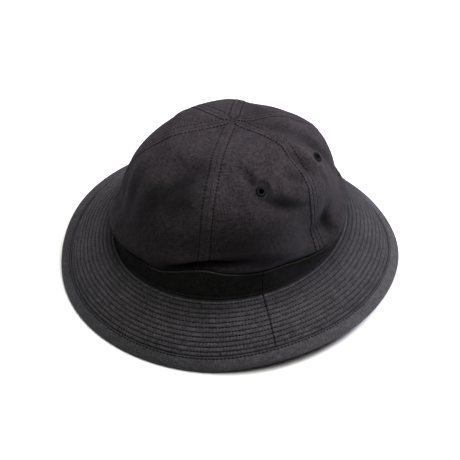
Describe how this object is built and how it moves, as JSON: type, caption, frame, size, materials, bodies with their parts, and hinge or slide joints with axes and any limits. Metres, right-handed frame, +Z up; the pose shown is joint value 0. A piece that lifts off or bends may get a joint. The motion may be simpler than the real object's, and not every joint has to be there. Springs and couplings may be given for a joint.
{
  "type": "army bucket hat",
  "caption": "Soft black cotton army hat with a panelled round crown, a cloth band, a quilted sloping brim with a bound rim and stitched vent eyelets.",
  "frame": {"origin": "bottom centre of the bounding box, on the surface that the rim rests on", "axes": "+Z up out of the crown; -Y towards the front of the hat, the panel with no eyelet; +X towards the wearer's left"},
  "size_m": [0.2728, 0.2811, 0.1293],
  "materials": {
    "crown_twill": "matt fine twill, faded black",
    "band_twill": "matt fine twill, black",
    "brim_twill": "matt fine twill with rows of quilting stitches",
    "binding_twill": "matt folded strip, edge stitched",
    "eyelet_thread": "tight buttonhole thread"
  },
  "bodies": {
    "root": {"crown_panel_1": "crown_twill", "crown_panel_2": "crown_twill", "crown_panel_3": "crown_twill", "crown_panel_4": "crown_twill", "crown_panel_5": "crown_twill", "crown_panel_6": "crown_twill", "band": "band_twill", "brim": "brim_twill", "brim_binding": "binding_twill", "eyelet_1": "eyelet_thread", "eyelet_2": "eyelet_thread", "eyelet_3": "eyelet_thread", "eyelet_4": "eyelet_thread"}
  },
  "joints": []
}
